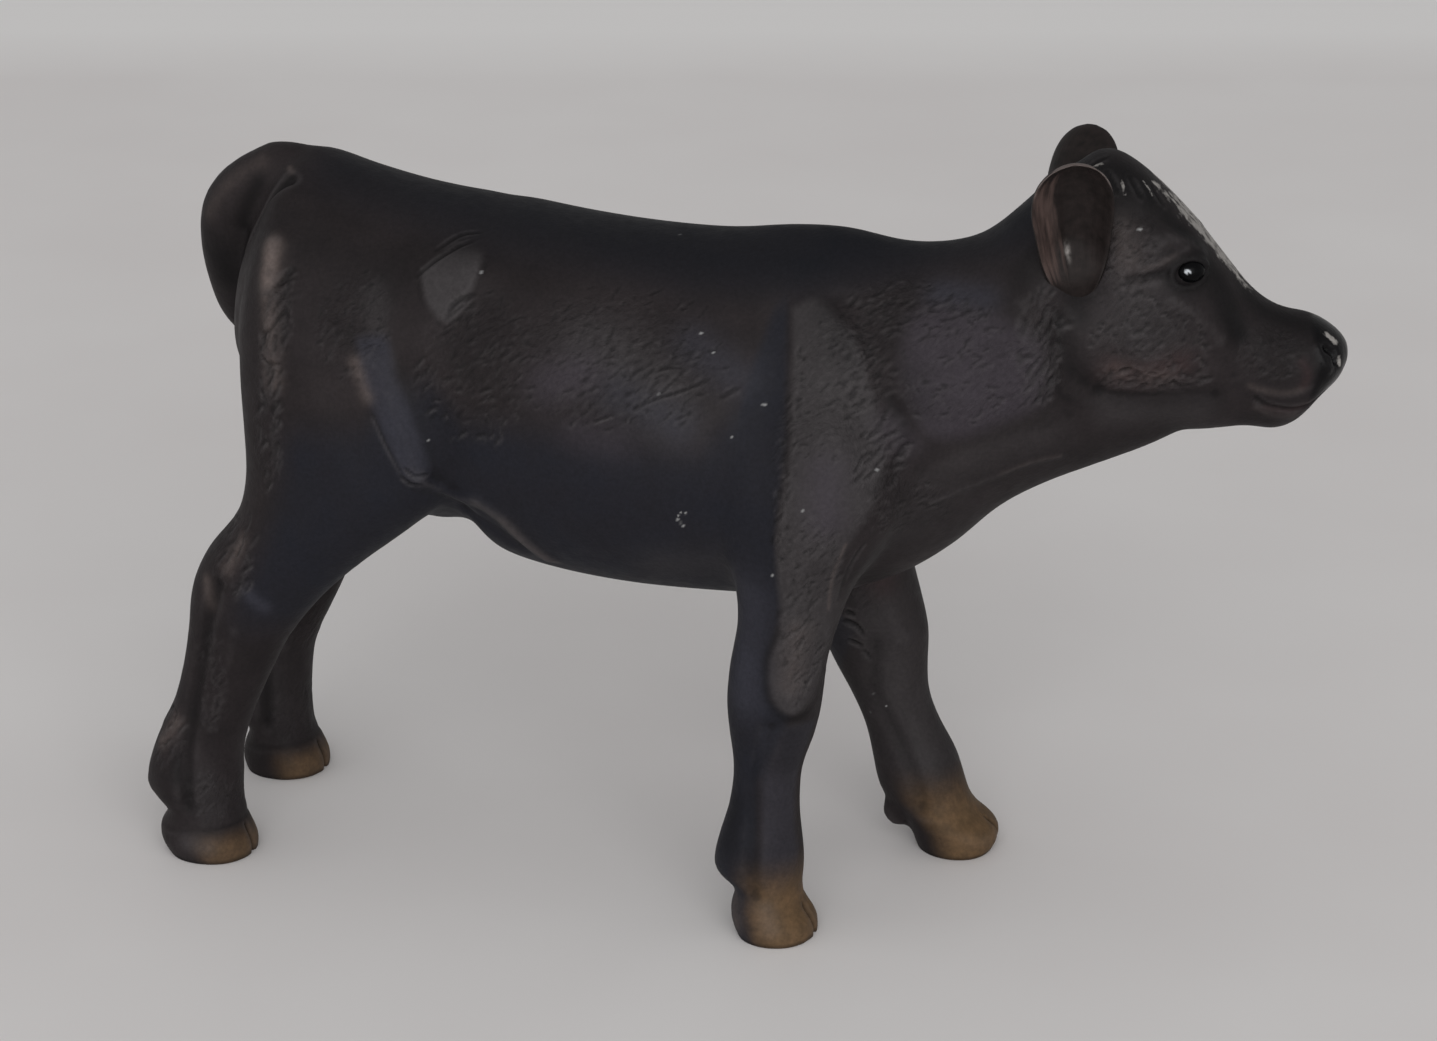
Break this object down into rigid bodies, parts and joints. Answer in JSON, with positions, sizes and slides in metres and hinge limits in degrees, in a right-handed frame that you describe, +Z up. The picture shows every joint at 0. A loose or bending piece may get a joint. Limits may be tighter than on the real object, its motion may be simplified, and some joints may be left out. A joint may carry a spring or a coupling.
{
  "type": "toy calf figure",
  "caption": "Small solid vinyl calf that stands on its hooves, its head turned to its left, with cupped ears and a tail that arches off the rump.",
  "frame": {"origin": "middle of the footprint box, on the floor under the hooves", "axes": "+X towards the head, +Y to the calf's left, +Z up"},
  "size_m": [0.0859, 0.026, 0.0574],
  "materials": {
    "painted_coat": "satin hand paint over solid vinyl",
    "painted_ear": "matt hand paint over solid vinyl"
  },
  "bodies": {
    "root": {"trunk_and_neck": "painted_coat", "head": "painted_coat", "ear_left": "painted_ear", "ear_right": "painted_ear", "tail": "painted_coat", "fore_leg_left": "painted_coat", "fore_leg_right": "painted_coat", "hind_leg_left": "painted_coat", "hind_leg_right": "painted_coat"}
  },
  "joints": []
}
